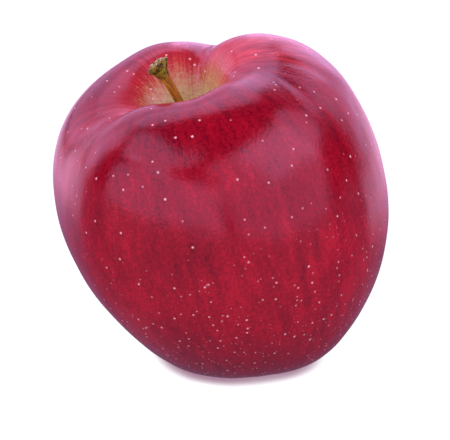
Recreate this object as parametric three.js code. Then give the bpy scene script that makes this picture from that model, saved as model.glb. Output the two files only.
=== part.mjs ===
// A ripe red dessert apple standing on its calyx end: the fruit, the woody stem in the
// cavity on top, and the dried remains of the flower in the basin underneath.
//
// Millimetres, +Z up. The origin is on the surface that the apple stands on, below the
// middle of its outline. The stem side faces up and leans a little towards -X.

import * as THREE from 'three';
import { mergeVertices } from 'three/addons/utils/BufferGeometryUtils.js';

// ---- Driving dimensions ---------------------------------------------------------------

// Half of the fruit's section, as radius and height of the control points of a smooth
// curve: from the floor of the calyx basin, round the widest part, over the shoulder and
// down to the floor of the stem cavity.
const HALF_SECTION = [
  [0.0, 9.6], [4.7, 8.0], [8.9, 2.5], [14.7, -2.9], [23.1, -0.4],
  [32.0, 10.3], [39.7, 24.7], [40.5, 41.8], [35.9, 58.2], [24.8, 66.7],
  [14.0, 67.4], [8.4, 62.4], [5.0, 56.8], [2.5, 54.4], [0.0, 54.0],
];
const STEPS_PER_SPAN = 3;
const FRUIT_SEGMENTS = 60;

// The five ribs of the fruit. Each one raises the shoulder, swells the girth by a share
// of the radius, and ends below in a foot that hangs lower than the basin's rim.
const RIBS = [
  { azimuth: 30, shoulder: 5.9, girth: 0.13, foot: 3.9 },
  { azimuth: 100, shoulder: 4.4, girth: -0.03, foot: 1.2 },
  { azimuth: 196, shoulder: -4.3, girth: -0.1, foot: 0.1 },
  { azimuth: 248, shoulder: 1.7, girth: 0.0, foot: 0.5 },
  { azimuth: 318, shoulder: 2.2, girth: 0.0, foot: 2.4 },
];
const RIB_SHARPNESS = 5.4;
const SHOULDER_RISE = [21.0, 64.0]; // heights between which the ribs' shoulders fade in
const SHOULDER_REACH = [1.0, 16.3]; // radii between which they fade out in the cavity
const FOOT_RISE = [30.0, 1.4]; // heights between which the feet fade in, going down
const FOOT_REACH = [1.0, 13.4]; // radii between which they fade out in the basin

// A shallow furrow that runs out of the stem cavity between the two ribs at the back.
const FURROW = { azimuth: 66, depth: 1.5, sharpness: 40 };
const FURROW_RISE = [48.0, 66.0]; // heights between which it fades in
const FURROW_REACH = [3.0, 13.0]; // radii between which it fades out in the cavity

const LEAN = -0.11; // sideways growth along X for each millimetre of height
const TILT = 7.7; // degrees that the whole fruit tips over
const TILT_TOWARDS = 174.5; // azimuth that its top tips towards
const FOOT_FLAT = 0.8; // depth pressed flat where the feet meet the surface

const SEATING_GAP = 0.3; // between a piece that grew on the fruit and the flesh
const STEM_SEATING = 0.5; // the same below the stem, whose base meets a sloping floor

// The stem, as radius at a distance along it, and its route from the cavity's floor.
const STEM_OUTLINE = [
  [0.0, 0.0], [1.3, 0.0], [1.0, 1.8], [0.92, 6.0], [1.0, 11.0], [1.15, 14.6],
  [1.6, 16.6], [2.5, 18.4], [2.75, 19.2], [2.4, 19.9], [0.0, 19.7],
];
const STEM_ROUTE = [
  [0.2, 0.0, 0.0], [-0.7, 0.1, 4.3], [-3.1, 0.2, 9.1], [-5.7, 0.2, 13.7], [-8.1, 0.1, 17.5],
];
const STEM_SEGMENTS = 12;
const STEM_END_SLANT = 0.2; // slope of the knob's end face

// The dried flower in the basin, measured from the middle of its floor.
const SEPAL_COUNT = 5;
const SEPAL = { ring: 3.9, start: 1.9, length: 5.6, width: 3.0, thickness: 0.6, curl: 1.6 };
const WHORLS = [
  { count: 10, ring: 1.5, start: 0.55, length: 3.6, turn: 0, splay: 3 },
  { count: 10, ring: 2.4, start: 0.95, length: 3.0, turn: 18, splay: 6 },
];
const FILAMENT_RADIUS = 0.22;
const STYLE_OUTLINE = [
  [0.0, 0.0], [0.65, 0.0], [0.5, 1.2], [0.35, 2.8], [0.5, 3.9], [0.3, 4.4], [0.0, 4.5],
];

const materials = {
  skin: new THREE.MeshStandardMaterial({ color: 0x9c1c34, roughness: 0.32, metalness: 0 }),
  stem: new THREE.MeshStandardMaterial({ color: 0x8a5322, roughness: 0.8, metalness: 0 }),
  sepal: new THREE.MeshStandardMaterial({ color: 0x6b4c2c, roughness: 0.9, metalness: 0 }),
  filament: new THREE.MeshStandardMaterial({ color: 0x3f2a18, roughness: 0.9, metalness: 0 }),
};

// ---- The fruit ------------------------------------------------------------------------

// Smooth step from 0 at from to 1 at to, level at both ends.
function fade(value, from, to) {
  const t = THREE.MathUtils.clamp((value - from) / (to - from), 0, 1);
  return t * t * t * (t * (6 * t - 15) + 10);
}

// One coordinate of a uniform cubic B-spline span.
function splineValue(a, b, c, d, t) {
  const s = 1 - t;
  const wa = s * s * s;
  const wb = 3 * t * t * t - 6 * t * t + 4;
  const wc = -3 * t * t * t + 3 * t * t + 3 * t + 1;
  const wd = t * t * t;
  return (a * wa + b * wb + c * wc + d * wd) / 6;
}

// The half section as points from one pole to the other. The control points next to
// the poles are mirrored across the axis, so the curve crosses it level.
function halfSection() {
  const last = HALF_SECTION.length - 1;
  const before = [-HALF_SECTION[1][0], HALF_SECTION[1][1]];
  const after = [-HALF_SECTION[last - 1][0], HALF_SECTION[last - 1][1]];
  const hull = [before, ...HALF_SECTION, after];
  const points = [];
  for (let step = 0; step <= last * STEPS_PER_SPAN; step += 1) {
    const span = Math.min(Math.floor(step / STEPS_PER_SPAN), last - 1);
    const t = step / STEPS_PER_SPAN - span;
    const [a, b, c, d] = hull.slice(span, span + 4);
    const radius = splineValue(a[0], b[0], c[0], d[0], t);
    const height = splineValue(a[1], b[1], c[1], d[1], t);
    points.push(new THREE.Vector2(Math.max(radius, 0), height));
  }
  points[0].x = 0;
  points[points.length - 1].x = 0;
  return points;
}

// A bell-shaped share, 1 at the middle azimuth in degrees and falling off round the fruit.
function shareAt(azimuth, middle, sharpness) {
  return Math.exp(sharpness * (Math.cos(azimuth - THREE.MathUtils.degToRad(middle)) - 1));
}

// How far the ribs raise, swell and lower the fruit at one azimuth.
function ribsAt(azimuth) {
  const sum = { shoulder: 0, girth: 0, foot: 0 };
  for (const rib of RIBS) {
    const share = shareAt(azimuth, rib.azimuth, RIB_SHARPNESS);
    sum.shoulder += share * rib.shoulder;
    sum.girth += share * rib.girth;
    sum.foot += share * rib.foot;
  }
  return sum;
}

// The turn that tips the upright fruit over towards its low side.
function tipping() {
  const towards = THREE.MathUtils.degToRad(TILT_TOWARDS);
  const axis = new THREE.Vector3(-Math.sin(towards), Math.cos(towards), 0);
  return new THREE.Quaternion().setFromAxisAngle(axis, THREE.MathUtils.degToRad(TILT));
}

// A point of the upright fruit, leaned sideways and tipped over.
function tipped(point) {
  return new THREE.Vector3(point.x + LEAN * point.z, point.y, point.z).applyQuaternion(tipping());
}

// One skin point of the upright fruit, from its place on the half section.
function skinPoint(radius, height, azimuth, inCavity, inBasin) {
  const ribs = ribsAt(azimuth);
  const raised = inCavity ? fade(radius, ...SHOULDER_REACH) : fade(height, ...SHOULDER_RISE);
  const lowered = inBasin ? fade(radius, ...FOOT_REACH) : fade(height, ...FOOT_RISE);
  const furrowed = inCavity ? fade(radius, ...FURROW_REACH) : fade(height, ...FURROW_RISE);
  const furrow = FURROW.depth * furrowed * shareAt(azimuth, FURROW.azimuth, FURROW.sharpness);
  const swollen = radius * (1 + ribs.girth);
  return new THREE.Vector3(
    swollen * Math.cos(azimuth),
    swollen * Math.sin(azimuth),
    height + raised * ribs.shoulder - lowered * ribs.foot - furrow,
  );
}

// The whole skin: the half section turned round the axis, then moved point by point.
function fruitGeometry(section) {
  const lathe = new THREE.LatheGeometry(section, FRUIT_SEGMENTS);
  const heights = section.map((point) => point.y);
  const crest = heights.indexOf(Math.max(...heights));
  const rim = heights.indexOf(Math.min(...heights));
  const position = lathe.getAttribute('position');
  for (let index = 0; index < position.count; index += 1) {
    const ring = index % section.length;
    const turn = Math.floor(index / section.length) / FRUIT_SEGMENTS;
    const { x: radius, y: height } = section[ring];
    const skin = tipped(skinPoint(radius, height, turn * 2 * Math.PI, ring >= crest, ring <= rim));
    position.setXYZ(index, skin.x, skin.y, skin.z);
  }
  return closed(lathe);
}

// The same shape with shared vertices, so that it is one closed surface.
function closed(geometry) {
  geometry.deleteAttribute('normal');
  geometry.deleteAttribute('uv');
  const merged = mergeVertices(geometry, 1e-4);
  merged.computeVertexNormals();
  return merged;
}

// Stands the fruit on its feet: outline centred on the origin, feet pressed flat.
function standOnFeet(geometry) {
  geometry.computeBoundingBox();
  const middle = geometry.boundingBox.getCenter(new THREE.Vector3());
  const shift = new THREE.Vector3(-middle.x, -middle.y, -geometry.boundingBox.min.z - FOOT_FLAT);
  geometry.translate(shift.x, shift.y, shift.z);
  const position = geometry.getAttribute('position');
  for (let index = 0; index < position.count; index += 1) {
    position.setZ(index, Math.max(position.getZ(index), 0));
  }
  geometry.computeVertexNormals();
  return shift;
}

// ---- The stem -------------------------------------------------------------------------

// A straight turned stem bent along its route, its end face sloping across the knob.
function stemGeometry() {
  const points = STEM_OUTLINE.map(([radius, along]) => new THREE.Vector2(radius, along));
  const straight = new THREE.LatheGeometry(points, STEM_SEGMENTS);
  straight.rotateX(Math.PI / 2);
  const route = new THREE.CatmullRomCurve3(STEM_ROUTE.map((place) => new THREE.Vector3(...place)));
  const length = Math.max(...points.map((point) => point.y));
  const position = straight.getAttribute('position');
  for (let index = 0; index < position.count; index += 1) {
    const offset = new THREE.Vector3().fromBufferAttribute(position, index);
    const along = offset.z / length;
    const knob = fade(along, 0.75, 1);
    const distance = THREE.MathUtils.clamp(along, 0, 1);
    const forward = route.getTangentAt(distance);
    const across = new THREE.Vector3(0, 1, 0).cross(forward).normalize();
    const beside = new THREE.Vector3().crossVectors(forward, across);
    const place = route.getPointAt(distance);
    place.addScaledVector(across, offset.x);
    place.addScaledVector(beside, offset.y);
    place.addScaledVector(forward, knob * STEM_END_SLANT * offset.x);
    position.setXYZ(index, place.x, place.y, place.z);
  }
  return closed(straight);
}

// ---- The dried flower -----------------------------------------------------------------

// One dried sepal hanging along -Z from its base, widest near the base, curling out to +X.
function sepalGeometry() {
  const leaf = new THREE.SphereGeometry(0.5, 8, 8);
  const position = leaf.getAttribute('position');
  for (let index = 0; index < position.count; index += 1) {
    const along = 0.5 - position.getY(index);
    const narrowing = 1 - 0.6 * along;
    const bow = SEPAL.curl * along * along;
    position.setXYZ(
      index,
      position.getX(index) * SEPAL.thickness + bow,
      position.getZ(index) * SEPAL.width * narrowing * -1,
      -along * SEPAL.length,
    );
  }
  return closed(leaf);
}

// A turned piece hanging along -Z from the floor of the basin.
function hangingLathe(outline, segments) {
  const points = outline.map(([radius, along]) => new THREE.Vector2(radius, along));
  const turned = new THREE.LatheGeometry(points, segments);
  turned.rotateX(-Math.PI / 2);
  return closed(turned);
}

// One stamen: a thin thread with rounded ends.
function stamenGeometry(length) {
  const thread = new THREE.CapsuleGeometry(FILAMENT_RADIUS, length - 2 * FILAMENT_RADIUS, 2, 6);
  thread.rotateX(Math.PI / 2);
  thread.translate(0, 0, -length / 2);
  return closed(thread);
}

// The sepals, stamens and styles, in a group that hangs from the middle of the floor.
function flowerRemains() {
  const flower = new THREE.Group();
  for (let number = 0; number < SEPAL_COUNT; number += 1) {
    const sepal = named(`sepal_${number + 1}`, sepalGeometry(), materials.sepal);
    const azimuth = THREE.MathUtils.degToRad(36 + (number * 360) / SEPAL_COUNT);
    sepal.rotation.z = azimuth;
    sepal.position.set(SEPAL.ring * Math.cos(azimuth), SEPAL.ring * Math.sin(azimuth), -SEPAL.start);
    flower.add(sepal);
  }
  let stamenNumber = 0;
  for (const whorl of WHORLS) {
    for (let place = 0; place < whorl.count; place += 1) {
      stamenNumber += 1;
      const stamen = named(`stamen_${stamenNumber}`, stamenGeometry(whorl.length), materials.filament);
      const azimuth = THREE.MathUtils.degToRad(whorl.turn + (place * 360) / whorl.count);
      stamen.rotation.order = 'ZYX';
      stamen.rotation.set(0, THREE.MathUtils.degToRad(-whorl.splay), azimuth);
      stamen.position.set(whorl.ring * Math.cos(azimuth), whorl.ring * Math.sin(azimuth), -whorl.start);
      flower.add(stamen);
    }
  }
  const styles = named('styles', hangingLathe(STYLE_OUTLINE, 10), materials.filament);
  styles.position.set(0, 0, -SEATING_GAP);
  flower.add(styles);
  return flower;
}

// ---- Assembly -------------------------------------------------------------------------

function named(name, geometry, material) {
  const mesh = new THREE.Mesh(geometry, material.clone());
  mesh.name = name;
  return mesh;
}

// The place of one pole of the standing fruit.
function polePlace(height, shift) {
  return tipped(new THREE.Vector3(0, 0, height)).add(shift);
}

function buildApple() {
  const section = halfSection();
  const skin = fruitGeometry(section);
  const shift = standOnFeet(skin);
  const apple = new THREE.Group();
  apple.add(named('fruit', skin, materials.skin));

  const stem = named('stem', stemGeometry(), materials.stem);
  stem.position.copy(polePlace(section[section.length - 1].y, shift));
  stem.position.z += STEM_SEATING;
  apple.add(stem);

  const flower = flowerRemains();
  flower.position.copy(polePlace(section[0].y, shift));
  flower.quaternion.copy(tipping());
  apple.add(flower);
  return apple;
}

export default buildApple();
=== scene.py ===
"""A ripe red dessert apple with its woody stem and dried flower, on a white studio floor.

The fruit is one turned skin, pushed into shape. The stem stands in the cavity on top, and the
dried sepals, stamens and styles hang in the basin underneath. Lengths in the sub-assembly
classes are millimetres, as a grower would measure them, and meshes are scaled to metres
when they are finished.
"""

import logging
import math
import random
from dataclasses import dataclass
from enum import Enum
from typing import Any, Callable, Sequence

import bmesh
import bpy
from mathutils import Matrix, Quaternion, Vector, noise


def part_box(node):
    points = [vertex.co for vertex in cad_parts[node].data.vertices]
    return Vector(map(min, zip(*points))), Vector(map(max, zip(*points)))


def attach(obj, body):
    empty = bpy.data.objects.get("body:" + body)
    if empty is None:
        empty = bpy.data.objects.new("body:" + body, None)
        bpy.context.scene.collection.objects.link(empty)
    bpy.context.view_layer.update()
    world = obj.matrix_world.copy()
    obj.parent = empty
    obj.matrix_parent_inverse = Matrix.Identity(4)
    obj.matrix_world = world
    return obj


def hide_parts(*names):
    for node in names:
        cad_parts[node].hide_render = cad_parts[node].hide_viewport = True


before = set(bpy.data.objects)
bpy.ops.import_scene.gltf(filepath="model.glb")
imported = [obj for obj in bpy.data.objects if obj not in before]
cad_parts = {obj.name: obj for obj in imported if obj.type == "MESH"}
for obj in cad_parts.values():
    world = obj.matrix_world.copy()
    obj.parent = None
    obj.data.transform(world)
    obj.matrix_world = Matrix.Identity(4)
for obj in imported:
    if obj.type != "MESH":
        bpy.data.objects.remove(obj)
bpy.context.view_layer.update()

Colour = tuple[float, float, float, float]
Pair = tuple[float, float]
Triple = tuple[float, float, float]

MM = 0.001
WELD = 0.00001
BODY = "root"

log = logging.getLogger("apple")


class Slot(Enum):
    """Names of the record's material slots."""

    SKIN = "fruit_skin"
    STEM = "stem_bark"
    SEPAL = "dry_sepal"
    STAMEN = "dry_stamen"


class Zone(Enum):
    """Names of the mesh attributes that tell a finish where it is on a piece."""

    GRAIN = "grain"
    FROM_STEM = "from_stem"
    FROM_CALYX = "from_calyx"
    ALONG = "along"
    EDGE = "edge"


# ---- Shape helpers --------------------------------------------------------------------


def fade(value: float, start: float, end: float) -> float:
    """Smooth step that is level at both ends.

    Args:
        value: Where to read the step.
        start: The value at which it is 0.
        end: The value at which it is 1.

    Returns:
        A share from 0 to 1.
    """
    t = min(max((value - start) / (end - start), 0.0), 1.0)
    return t * t * t * (t * (6.0 * t - 15.0) + 10.0)


def bell(angle: float, middle: float, sharpness: float) -> float:
    """Bell-shaped share round a circle.

    Args:
        angle: Azimuth in radians.
        middle: Azimuth of the bell's top in degrees.
        sharpness: How fast it falls off.

    Returns:
        1 at the middle, less away from it.
    """
    return math.exp(sharpness * (math.cos(angle - math.radians(middle)) - 1.0))


def outward(azimuth: float) -> Vector:
    """Gives the level direction at an azimuth in radians, one unit long."""
    return Vector((math.cos(azimuth), math.sin(azimuth), 0.0))


@dataclass(frozen=True)
class Ripple:
    """Smooth irregularity of grown things.

    Depth is its height and wavelength its typical length, and seed shifts the pattern, so
    that two ripples differ.
    """

    depth: float
    wavelength: float
    seed: float

    def at(self, point: Vector) -> float:
        """Gives the height at a point, from about -depth to depth."""
        shift = Vector((self.seed, 2.0 * self.seed, -self.seed))
        return self.depth * noise.noise(point / self.wavelength + shift)


def turned(outline: Sequence[Pair], segments: int,
           marks: Sequence[str] = ()) -> bmesh.types.BMesh:
    """Turns an outline round the Z axis into a closed mesh.

    Args:
        outline: Radius and height of the points, from one end on the axis to the other.
        segments: Number of steps round the axis.
        marks: Names of float layers to add to the vertices.

    Returns:
        The mesh, with each vertex's place in the outline in the integer layer "station".
    """
    bm = bmesh.new()
    station = bm.verts.layers.int.new("station")
    for name in marks:
        bm.verts.layers.float.new(name)
    chain = []
    for index, (radius, height) in enumerate(outline):
        vertex = bm.verts.new((radius, 0.0, height))
        vertex[station] = index
        chain.append(vertex)
    edges = [bm.edges.new(pair) for pair in zip(chain, chain[1:])]
    bmesh.ops.spin(
        bm, geom=chain + edges, cent=(0, 0, 0), axis=(0, 0, 1), dvec=(0, 0, 0),
        angle=math.tau, steps=segments, use_merge=True, use_duplicate=False,
    )
    bmesh.ops.remove_doubles(bm, verts=bm.verts, dist=WELD)
    bmesh.ops.recalc_face_normals(bm, faces=bm.faces)
    return bm


def finished(bm: bmesh.types.BMesh, name: str) -> bpy.types.Object:
    """Makes a piece of a mesh that is in millimetres.

    Args:
        bm: The mesh, which is used up.
        name: The piece's name.

    Returns:
        The object, at the origin, with smooth faces and its mesh in metres.
    """
    bmesh.ops.scale(bm, vec=(MM, MM, MM), verts=bm.verts)
    for face in bm.faces:
        face.smooth = True
    mesh = bpy.data.meshes.new(name)
    bm.to_mesh(mesh)
    bm.free()
    piece = bpy.data.objects.new(name, mesh)
    bpy.context.scene.collection.objects.link(piece)
    return piece


def set_in_box(bm: bmesh.types.BMesh, box: Sequence[Vector]) -> None:
    """Moves a mesh until its middle and its top are those of a box.

    Args:
        bm: The mesh in millimetres.
        box: The lowest and the highest corner of a node, in metres.
    """
    low, high = (Vector(corner) / MM for corner in box)
    xs, ys, zs = zip(*(vertex.co for vertex in bm.verts))
    middle = Vector(((min(xs) + max(xs)) / 2, (min(ys) + max(ys)) / 2, max(zs)))
    target = Vector(((low.x + high.x) / 2, (low.y + high.y) / 2, high.z))
    bmesh.ops.translate(bm, vec=target - middle, verts=bm.verts)


def seat(piece: bpy.types.Object, node: str) -> None:
    """Puts a piece in the place of a node of the frame.

    Args:
        piece: The finished piece.
        node: The node that it stands for.
    """
    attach(piece, BODY)
    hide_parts(node)
    log.info("%s: %d faces in place of %s", piece.name, len(piece.data.polygons), node)


# ---- Shader helpers -------------------------------------------------------------------


class Ease(Enum):
    """How a ramp runs between its ends."""

    SMOOTH = "SMOOTHSTEP"
    STRAIGHT = "LINEAR"


@dataclass(frozen=True)
class Ramp:
    """A change from low to high while a value goes from start to end, and level beyond."""

    start: float
    end: float
    low: float = 0.0
    high: float = 1.0
    ease: Ease = Ease.SMOOTH


@dataclass(frozen=True)
class Streaks:
    """Streaks along the grain.

    Across and along are streaks per metre, and contrast is the half width of the noise
    that is stretched to full range.
    """

    across: float
    along: float
    detail: float
    contrast: float


@dataclass(frozen=True)
class Specks:
    """Round spots, in cells per metre, with the largest radius as a share of a cell."""

    cells: float
    size: float


@dataclass(frozen=True)
class Mottle:
    """Cloudy variation, in blotches per metre, and how much detail they have."""

    fineness: float
    detail: float


NOISE_MIDDLE = 0.5
STREAK_ROUGHNESS = 0.6
STREAK_RANGE = Ramp(-1.0, 1.0, ease=Ease.STRAIGHT)
SPECK_EDGE = Ramp(0.0, 0.45)
SPECK_STRENGTH = Ramp(0.0, 1.0, 0.45, 1.0, Ease.STRAIGHT)
MOTTLE_RANGE = Ramp(0.25, 0.75, ease=Ease.STRAIGHT)


class Bench:
    """A node tree being wired."""

    def __init__(self, tree: bpy.types.NodeTree) -> None:
        """Starts work on a tree.

        Args:
            tree: The tree to add nodes to.
        """
        self.tree = tree

    def node(self, kind: str, inputs: dict[Any, Any] | None = None,
             **settings: Any) -> bpy.types.Node:
        """Adds a node.

        Args:
            kind: The node's type without the ShaderNode prefix.
            inputs: Values or sockets for its inputs, by name or number.
            **settings: Values for the node's own properties.

        Returns:
            The new node.
        """
        made = self.tree.nodes.new("ShaderNode" + kind)
        for name, value in settings.items():
            setattr(made, name, value)
        for socket, value in (inputs or {}).items():
            self.plug(made.inputs[socket], value)
        return made

    def plug(self, socket: bpy.types.NodeSocket, value: Any) -> None:
        """Feeds a socket.

        Args:
            socket: The input socket.
            value: Another node's output socket, or a plain value.
        """
        if isinstance(value, bpy.types.NodeSocket):
            self.tree.links.new(value, socket)
        else:
            socket.default_value = value

    def math(self, operation: str, first: Any, second: Any = 0.0) -> bpy.types.NodeSocket:
        """Adds a Math node and returns its output."""
        return self.node("Math", {0: first, 1: second}, operation=operation).outputs[0]

    def times(self, first: Any, second: Any) -> bpy.types.NodeSocket:
        """Multiplies two values."""
        return self.math("MULTIPLY", first, second)

    def plus(self, total: Any, *more: Any) -> bpy.types.NodeSocket:
        """Adds values up."""
        for value in more:
            total = self.math("ADD", total, value)
        return total

    def weighed(self, *parts: tuple[Any, float]) -> bpy.types.NodeSocket:
        """Adds up values, each times its weight."""
        return self.plus(*(self.times(value, weight) for value, weight in parts))

    def ramp(self, value: Any, ramp: Ramp) -> bpy.types.NodeSocket:
        """Puts a value through a ramp."""
        inputs = {
            "Value": value, "From Min": ramp.start, "From Max": ramp.end,
            "To Min": ramp.low, "To Max": ramp.high,
        }
        mapper = self.node("MapRange", inputs, interpolation_type=ramp.ease.value, clamp=True)
        return mapper.outputs["Result"]

    def blend(self, share: Any, first: Any, second: Any) -> bpy.types.NodeSocket:
        """Mixes two colours.

        Args:
            share: How much of the second colour, 0 to 1.
            first: The colour at 0.
            second: The colour at 1.

        Returns:
            The mixed colour.
        """
        mixer = self.node("Mix", data_type="RGBA", blend_type="MIX")
        for index, value in ((0, share), (6, first), (7, second)):
            self.plug(mixer.inputs[index], value)
        return mixer.outputs[2]

    def zone(self, zone: Zone) -> bpy.types.NodeSocket:
        """Reads one of the piece's own attributes."""
        return self.node("Attribute", attribute_name=zone.value).outputs["Fac"]

    def grain(self) -> bpy.types.NodeSocket:
        """Reads the piece's grain, round it and along it in metres."""
        return self.node("Attribute", attribute_name=Zone.GRAIN.value).outputs["Vector"]

    def place(self) -> bpy.types.NodeSocket:
        """Reads the place on the piece in metres."""
        return self.node("TexCoord").outputs["Object"]

    def group(self, tree: bpy.types.NodeTree, inputs: dict[str, Any]) -> bpy.types.NodeSocket:
        """Places a shared effect and returns its output.

        Args:
            tree: The effect's node group.
            inputs: Values or sockets for its inputs.

        Returns:
            The effect's one output.
        """
        return self.node("Group", inputs, node_tree=tree).outputs[0]

    def streaks(self, grain: Any, streaks: Streaks) -> bpy.types.NodeSocket:
        """Draws streaks along the grain, 0 to 1."""
        inputs = {
            "Grain": grain, "Across": streaks.across, "Along": streaks.along,
            "Detail": streaks.detail, "Contrast": streaks.contrast,
        }
        return self.group(grain_streaks(), inputs)

    def specks(self, place: Any, specks: Specks) -> bpy.types.NodeSocket:
        """Scatters round spots, 0 to 1."""
        inputs = {"Position": place, "Cells": specks.cells, "Size": specks.size}
        return self.group(round_specks(), inputs)

    def mottle(self, place: Any, mottle: Mottle) -> bpy.types.NodeSocket:
        """Makes cloudy variation, 0 to 1."""
        inputs = {"Position": place, "Fineness": mottle.fineness, "Detail": mottle.detail}
        return self.group(soft_mottle(), inputs)


def effect(name: str, sockets: dict[str, str], output: str,
           wire: Callable[[Bench, dict[str, bpy.types.NodeSocket]], bpy.types.NodeSocket],
           ) -> bpy.types.NodeTree:
    """Builds a shared effect as a node group, once.

    Args:
        name: The group's name.
        sockets: Its inputs, from name to socket type without the NodeSocket prefix.
        output: The name of its one output, a value.
        wire: Wires the effect and returns the socket that it puts out.

    Returns:
        The node group.
    """
    if name in bpy.data.node_groups:
        return bpy.data.node_groups[name]
    tree = bpy.data.node_groups.new(name, "ShaderNodeTree")
    for label, kind in sockets.items():
        tree.interface.new_socket(name=label, in_out="INPUT", socket_type="NodeSocket" + kind)
    tree.interface.new_socket(name=output, in_out="OUTPUT", socket_type="NodeSocketFloat")
    entry = tree.nodes.new("NodeGroupInput")
    leave = tree.nodes.new("NodeGroupOutput")
    tree.links.new(wire(Bench(tree), entry.outputs), leave.inputs[0])
    return tree


def grain_streaks() -> bpy.types.NodeTree:
    """Streaks drawn out along the grain.

    Returns:
        A group that gives 0 to 1, with the values of Streaks as inputs.
    """
    def wire(bench: Bench, given: dict[str, bpy.types.NodeSocket]) -> bpy.types.NodeSocket:
        """Wires the group."""
        pace = bench.node(
            "CombineXYZ", {0: given["Across"], 1: given["Across"], 2: given["Along"]},
        )
        drawn = bench.node(
            "VectorMath", {0: given["Grain"], 1: pace.outputs[0]}, operation="MULTIPLY",
        )
        pattern = bench.node("TexNoise", {
            "Vector": drawn.outputs[0], "Scale": 1.0, "Detail": given["Detail"],
            "Roughness": STREAK_ROUGHNESS,
        })
        centred = bench.math("SUBTRACT", pattern.outputs["Fac"], NOISE_MIDDLE)
        return bench.ramp(bench.math("DIVIDE", centred, given["Contrast"]), STREAK_RANGE)

    sockets = {
        "Grain": "Vector", "Across": "Float", "Along": "Float", "Detail": "Float",
        "Contrast": "Float",
    }
    return effect("grain_streaks", sockets, "Streak", wire)


def round_specks() -> bpy.types.NodeTree:
    """Small round spots scattered over a surface.

    Returns:
        A group that gives 0 to 1, with the values of Specks as inputs.
    """
    def wire(bench: Bench, given: dict[str, bpy.types.NodeSocket]) -> bpy.types.NodeSocket:
        """Wires the group."""
        cells = bench.node(
            "TexVoronoi",
            {"Vector": given["Position"], "Scale": given["Cells"], "Randomness": 1.0},
            feature="F1", distance="EUCLIDEAN",
        )
        outwards = bench.math("DIVIDE", cells.outputs["Distance"], given["Size"])
        spot = bench.ramp(bench.math("SUBTRACT", 1.0, outwards), SPECK_EDGE)
        shade = bench.node("SeparateColor", {0: cells.outputs["Color"]})
        return bench.times(spot, bench.ramp(shade.outputs[0], SPECK_STRENGTH))

    sockets = {"Position": "Vector", "Cells": "Float", "Size": "Float"}
    return effect("round_specks", sockets, "Speck", wire)


def soft_mottle() -> bpy.types.NodeTree:
    """Cloudy variation.

    Returns:
        A group that gives 0 to 1, with the values of Mottle as inputs.
    """
    def wire(bench: Bench, given: dict[str, bpy.types.NodeSocket]) -> bpy.types.NodeSocket:
        """Wires the group."""
        cloud = bench.node("TexNoise", {
            "Vector": given["Position"], "Scale": given["Fineness"], "Detail": given["Detail"],
        })
        return bench.ramp(cloud.outputs["Fac"], MOTTLE_RANGE)

    sockets = {"Position": "Vector", "Fineness": "Float", "Detail": "Float"}
    return effect("soft_mottle", sockets, "Mottle", wire)


class Finish:
    """Base of the finishes: makes a material with one Principled shader."""

    name: str

    def start(self, **values: Any) -> tuple[bpy.types.Material, Bench, bpy.types.Node]:
        """Makes an empty material.

        Args:
            **values: The shader's own uniform values, with _ for a space.

        Returns:
            The material, a bench on its tree, and its Principled shader.
        """
        material = bpy.data.materials.new(self.name)
        material.use_nodes = True
        material.node_tree.nodes.clear()
        bench = Bench(material.node_tree)
        shader = bench.node("BsdfPrincipled")
        for label, value in values.items():
            shader.inputs[label.replace("_", " ")].default_value = value
        bench.node("OutputMaterial", {"Surface": shader.outputs[0]})
        return material, bench, shader

    @staticmethod
    def relief(bench: Bench, shader: bpy.types.Node, height: Any, depth: float) -> None:
        """Raises the surface by a height pattern.

        Args:
            bench: The material's bench.
            shader: Its shader.
            height: The pattern, 0 to 1.
            depth: The height of 1 in metres.
        """
        bump = bench.node("Bump", {"Height": height, "Distance": depth, "Strength": 1.0})
        bench.plug(shader.inputs["Normal"], bump.outputs[0])


@dataclass(frozen=True)
class Blush:
    """A pink flush high on one side: paler skin, and painted light on a lobe top.

    Side points towards it, reach is how far it runs down from the stem's foot along the
    skin in metres, and share is its strength.
    """

    side: Triple
    reach: float
    share: float


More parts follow.
